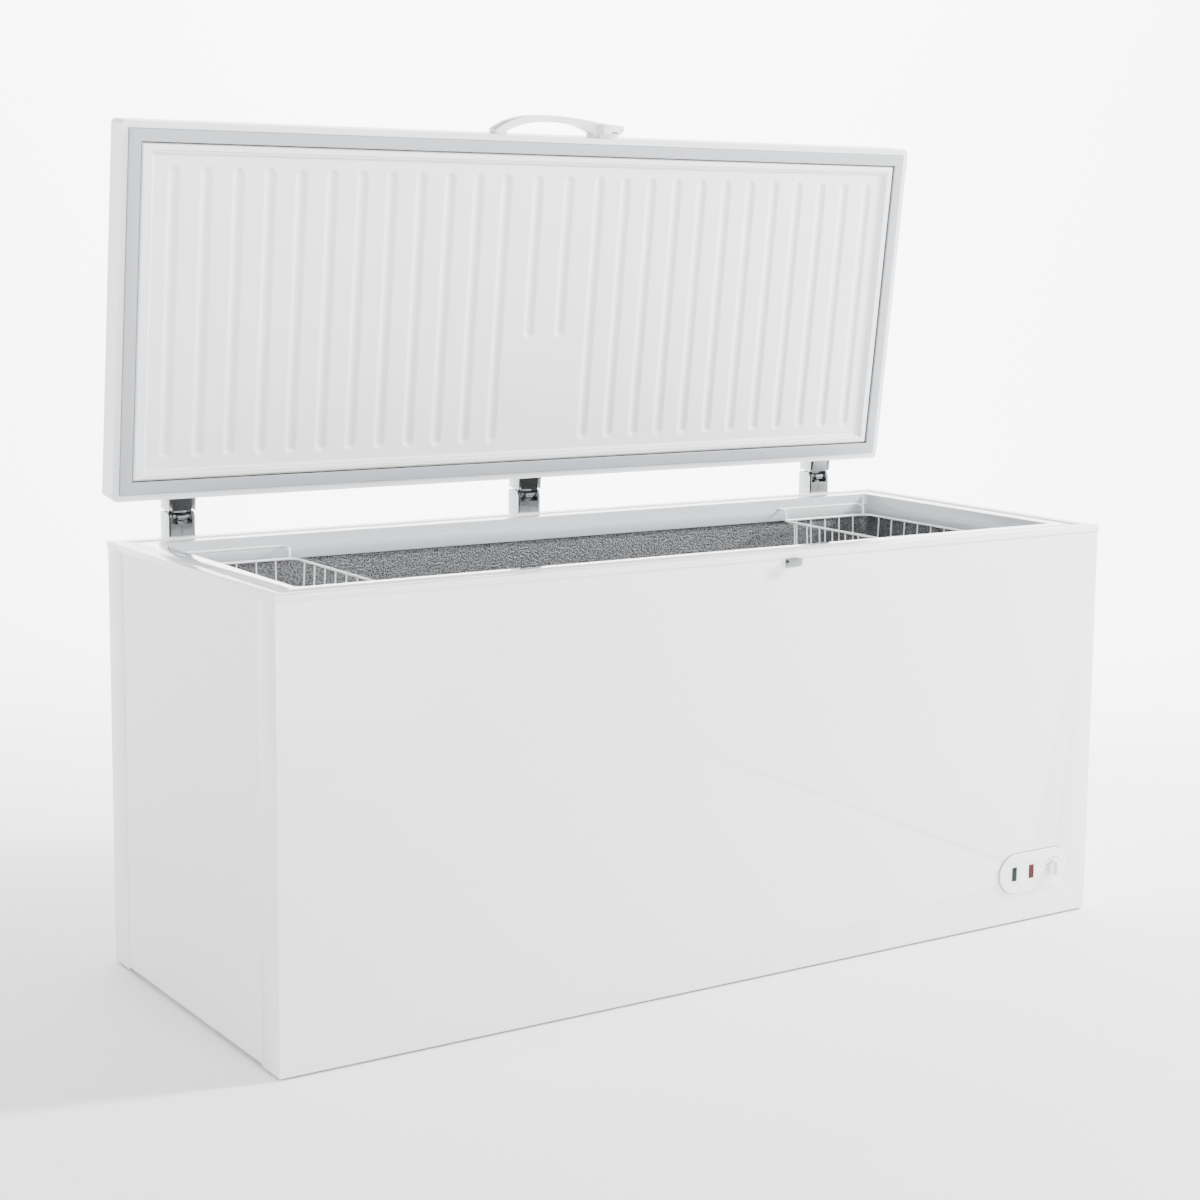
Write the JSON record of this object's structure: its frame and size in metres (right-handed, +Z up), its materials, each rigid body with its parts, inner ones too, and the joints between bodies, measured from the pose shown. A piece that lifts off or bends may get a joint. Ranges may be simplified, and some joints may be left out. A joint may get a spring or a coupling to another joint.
{
  "type": "chest freezer",
  "caption": "Large white chest freezer with its hinged lid open, a stucco-lined tank, hanging wire baskets and a thermostat panel.",
  "frame": {"origin": "on the floor, under the middle of the cabinet", "axes": "+X to the user's right along the freezer's length, +Y from the front to the rear (hinge side), +Z up"},
  "size_m": [1.929, 0.8335, 1.7039],
  "materials": {
    "white_paint": "gloss",
    "white_trim": "gloss",
    "grey_trim": "gloss",
    "panel_plastic": "satin",
    "gasket": "matte",
    "stucco_aluminium": "satin",
    "foam": "matte",
    "zinc": "satin",
    "zinc_sheet": "satin",
    "chrome": "polished",
    "black_enamel": "satin",
    "black_plastic": "matte",
    "rubber": "matte",
    "copper": "satin",
    "green_lens": "gloss",
    "red_lens": "gloss",
    "coated_wire": "gloss"
  },
  "bodies": {
    "cabinet": {"front_panel": "white_paint", "rear_panel": "white_paint", "left_side_panel": "white_paint", "right_side_panel": "white_paint", "base_tray": "zinc_sheet", "top_collar": "white_trim", "throat_frame": "grey_trim", "inner_liner": "stucco_aluminium", "foam_insulation": "foam", "lock_keeper": "zinc", "feet": "black_plastic", "vent_grille": "white_trim", "service_cover": "zinc_sheet", "panel_screws": "zinc", "compressor": "black_enamel", "compressor_plate": "zinc_sheet", "compressor_grommets": "rubber", "compressor_bolts": "zinc", "terminal_cover": "black_plastic", "filter_drier": "copper", "condenser_tube": "copper", "capillary_tube": "copper", "evaporator_tube": "copper", "inlet_gland": "black_plastic", "control_bezel": "white_trim", "green_lamp": "green_lens", "red_lamp": "red_lens", "thermostat_body": "black_plastic", "thermostat_bulb": "copper", "drain_tube": "white_trim", "hinge_pins": "zinc", "hinge_springs": "zinc", "hinge_screws_lower": "zinc", "hinge_left_lower_bracket": "zinc", "hinge_centre_lower_bracket": "zinc", "hinge_right_lower_bracket": "zinc", "hinge_left_lower_cover": "white_trim", "hinge_centre_lower_cover": "white_trim", "hinge_right_lower_cover": "white_trim"},
    "lid": {"lid_outer_shell": "white_paint", "lid_inner_panel": "panel_plastic", "lid_foam": "foam", "lid_gasket": "gasket", "lid_handle": "white_trim", "lid_screws": "zinc", "lid_edge_clip": "white_trim", "hinge_left_upper_leaf": "zinc", "hinge_centre_upper_leaf": "zinc", "hinge_right_upper_leaf": "zinc", "hinge_left_upper_cover": "white_trim", "hinge_centre_upper_cover": "white_trim", "hinge_right_upper_cover": "white_trim"},
    "plungers": {"hinge_plungers": "zinc"},
    "lock_barrel": {"lock_cylinder": "chrome"},
    "lock_bolt": {"lock_bolt": "zinc"},
    "knob": {"thermostat_knob": "white_trim"},
    "left_basket": {"left_basket": "coated_wire"},
    "right_basket": {"right_basket": "coated_wire"},
    "drain_plug": {"drain_plug": "white_trim"},
    "drain_cap": {"drain_cap": "white_trim"}
  },
  "joints": [
    {"name": "lid_hinge", "type": "hinge", "parent": "cabinet", "child": "lid", "pos_m": [0, 0.4, 0.888], "axis": [-1, 0, 0], "range_deg": [-83, 0], "stiffness_Nm_per_rad": 38},
    {"name": "hinge_plunger_slide", "type": "slide", "parent": "cabinet", "child": "plungers", "axis": [0, 0, 1], "range_m": [-0.0071, 0.0005], "deforming": ["hinge_springs"]},
    {"name": "lock_turn", "type": "hinge", "parent": "lid", "child": "lock_barrel", "pos_m": [0.142, 0.28869, 1.67964], "axis": [-1, 0, 0], "range_deg": [0, 180]},
    {"name": "lock_bolt_slide", "type": "slide", "parent": "lid", "child": "lock_bolt", "axis": [0, -0.9925, -0.1219], "range_m": [0, 0.0182]},
    {"name": "knob_turn", "type": "hinge", "parent": "cabinet", "child": "knob", "pos_m": [0.86, -0.3905, 0.11], "axis": [0, 1, 0], "range_deg": [-150, 150]},
    {"name": "left_basket_lift", "type": "slide", "parent": "cabinet", "child": "left_basket", "axis": [0, 0, 1], "range_m": [0, 0.28]},
    {"name": "right_basket_lift", "type": "slide", "parent": "cabinet", "child": "right_basket", "axis": [0, 0, 1], "range_m": [0, 0.28]},
    {"name": "drain_plug_pull", "type": "slide", "parent": "cabinet", "child": "drain_plug", "axis": [0, 0, 1], "range_m": [0, 0.8]},
    {"name": "drain_cap_pull", "type": "slide", "parent": "cabinet", "child": "drain_cap", "axis": [0, 1, 0], "range_m": [0, 0.05]}
  ],
  "couplings": [
    {"joint": "hinge_plunger_slide", "follows": "lid_hinge", "m_per_rad": 0.004832},
    {"joint": "lock_bolt_slide", "follows": "lock_turn", "m_per_rad": 0.00575}
  ]
}
